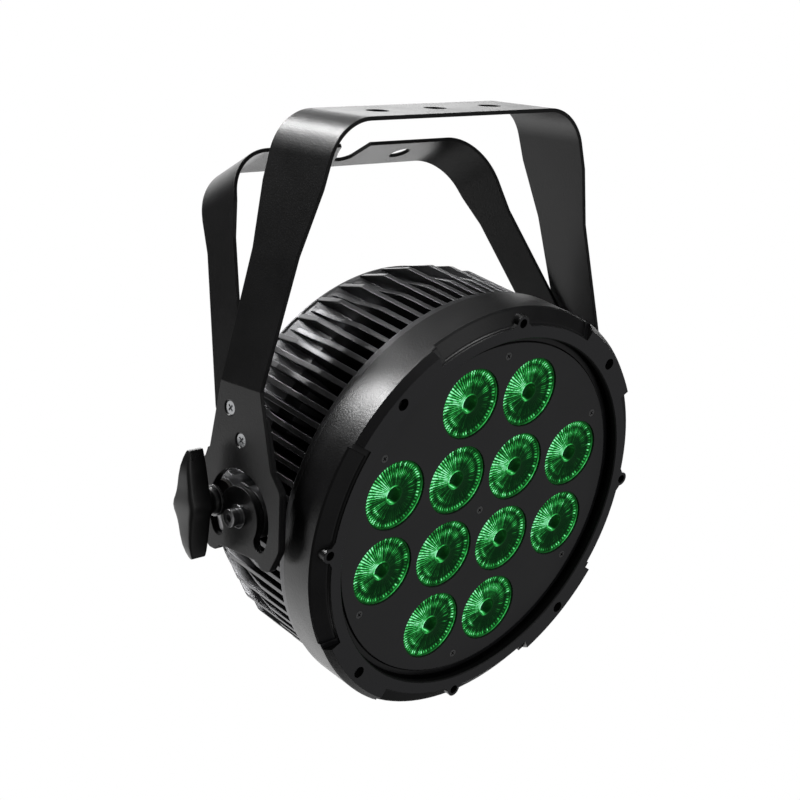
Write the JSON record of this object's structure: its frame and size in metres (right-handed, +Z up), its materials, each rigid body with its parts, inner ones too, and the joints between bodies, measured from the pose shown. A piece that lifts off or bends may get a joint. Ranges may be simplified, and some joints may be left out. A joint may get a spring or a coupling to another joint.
{
  "type": "stage par light",
  "caption": "Black par can stage light with clear lenses, a finned cast head, a double hanging bracket and wing knobs.",
  "frame": {"origin": "middle hanging hole, in the top face of the front crossbar", "axes": "+X to the right seen from the front, +Z up along the front bracket, +Y to the rear; the lamp shines towards -Y, nose down by its rest tilt"},
  "size_m": [0.277, 0.1525, 0.3111],
  "materials": {
    "powder_coat": "black fine-texture powder coat",
    "cover_black": "black powder coat on sheet aluminium",
    "cast_black": "black satin paint on cast aluminium",
    "face_black": "matt dark grey paint",
    "zinc": "bright zinc",
    "dark_steel": "black oxide",
    "fibre": "friction fibre",
    "knob_plastic": "fine-grained black plastic",
    "black_plastic": "black plastic",
    "seal_rubber": "black rubber",
    "lens_clear": "clear optics with a green cast",
    "window": "smoked clear plastic",
    "board_white": "white solder mask",
    "board_green": "green solder mask",
    "chip_yellow": "phosphor and clear dome",
    "brass_post": "turned brass",
    "tape_yellow": "yellow tape",
    "sleeve_blue": "blue sleeve",
    "ferrite": "sintered ferrite",
    "button_grey": "light grey plastic",
    "blue_plastic": "blue plastic",
    "grey_plastic": "grey plastic",
    "fuse_glass": "clear glass tube"
  },
  "bodies": {
    "bracket": {"front_bracket": "powder_coat", "rear_bracket": "powder_coat", "bracket_screws": "zinc", "bracket_nuts": "zinc", "pivot_bushings": "dark_steel"},
    "head": {"pivot_bolts": "dark_steel", "friction_pads": "fibre", "housing": "cast_black", "bezel": "cast_black", "bezel_screws": "dark_steel", "bezel_gasket": "seal_rubber", "face_plate": "face_black", "face_screws": "dark_steel", "face_posts": "zinc", "lenses": "lens_clear", "lens_holders": "black_plastic", "led_board": "board_white", "led_chips": "chip_yellow", "led_cable": "seal_rubber", "cable_grommet": "seal_rubber", "board_posts": "brass_post", "board_screws": "zinc", "supply_board": "board_green", "supply_transformer": "tape_yellow", "supply_capacitors": "sleeve_blue", "driver_board": "board_green", "driver_coils": "ferrite", "driver_chips": "black_plastic", "rear_cover": "cover_black", "rear_cover_screws": "dark_steel", "rear_gasket": "seal_rubber", "control_panel": "black_plastic", "panel_screws": "dark_steel", "display_window": "window", "display_module": "black_plastic", "control_board": "board_green", "tact_switches": "black_plastic", "data_in_socket": "black_plastic", "data_in_pins": "brass_post", "data_out_socket": "black_plastic", "data_out_insert": "black_plastic", "power_inlet": "blue_plastic", "power_outlet": "grey_plastic", "fuse_holder": "black_plastic", "fuse_link": "fuse_glass", "vent_plug": "black_plastic", "safety_loop": "zinc", "safety_loop_nuts": "zinc"},
    "clamp_left": {"clamp_washer_left": "dark_steel"},
    "clamp_right": {"clamp_washer_right": "dark_steel"},
    "knob_left": {"clamp_knob_left": "knob_plastic", "knob_stud_left": "zinc"},
    "knob_right": {"clamp_knob_right": "knob_plastic", "knob_stud_right": "zinc"},
    "menu_button": {"button_menu": "button_grey"},
    "down_button": {"button_down": "button_grey"},
    "up_button": {"button_up": "button_grey"},
    "enter_button": {"button_enter": "button_grey"},
    "latch": {"data_out_latch": "zinc"},
    "fuse_cap_body": {"fuse_cap": "black_plastic"}
  },
  "joints": [
    {"name": "head_tilt", "type": "hinge", "parent": "bracket", "child": "head", "pos_m": [0, 0, -0.1933], "axis": [1, 0, 0], "range_deg": [-39.5, 200]},
    {"name": "clamp_travel_left", "type": "slide", "parent": "head", "child": "clamp_left", "axis": [-1, 0, 0], "range_m": [0, 0.00187]},
    {"name": "knob_turn_left", "type": "hinge", "parent": "clamp_left", "child": "knob_left", "pos_m": [-0.1345, 0.01908, -0.19002], "axis": [-1, 0, 0], "range_deg": [0, 540]},
    {"name": "clamp_travel_right", "type": "slide", "parent": "head", "child": "clamp_right", "axis": [1, 0, 0], "range_m": [0, 0.00187]},
    {"name": "knob_turn_right", "type": "hinge", "parent": "clamp_right", "child": "knob_right", "pos_m": [0.1345, 0.01908, -0.19002], "axis": [1, 0, 0], "range_deg": [0, 540]},
    {"name": "menu_press", "type": "slide", "parent": "head", "child": "menu_button", "axis": [0, -0.9855, -0.1695], "range_m": [0, 0.0008]},
    {"name": "down_press", "type": "slide", "parent": "head", "child": "down_button", "axis": [0, -0.9855, -0.1695], "range_m": [0, 0.0008]},
    {"name": "up_press", "type": "slide", "parent": "head", "child": "up_button", "axis": [0, -0.9855, -0.1695], "range_m": [0, 0.0008]},
    {"name": "enter_press", "type": "slide", "parent": "head", "child": "enter_button", "axis": [0, -0.9855, -0.1695], "range_m": [0, 0.0008]},
    {"name": "latch_press", "type": "slide", "parent": "head", "child": "latch", "axis": [0, -0.9855, -0.1695], "range_m": [0, 0.0015]},
    {"name": "fuse_cap_turn", "type": "hinge", "parent": "head", "child": "fuse_cap_body", "pos_m": [0, 0.05273, -0.23497], "axis": [0, 0.9855, 0.1695], "range_deg": [0, 90]}
  ],
  "couplings": [
    {"joint": "clamp_travel_left", "follows": "knob_turn_left", "m_per_rad": 0.00019894},
    {"joint": "clamp_travel_right", "follows": "knob_turn_right", "m_per_rad": 0.00019894}
  ]
}
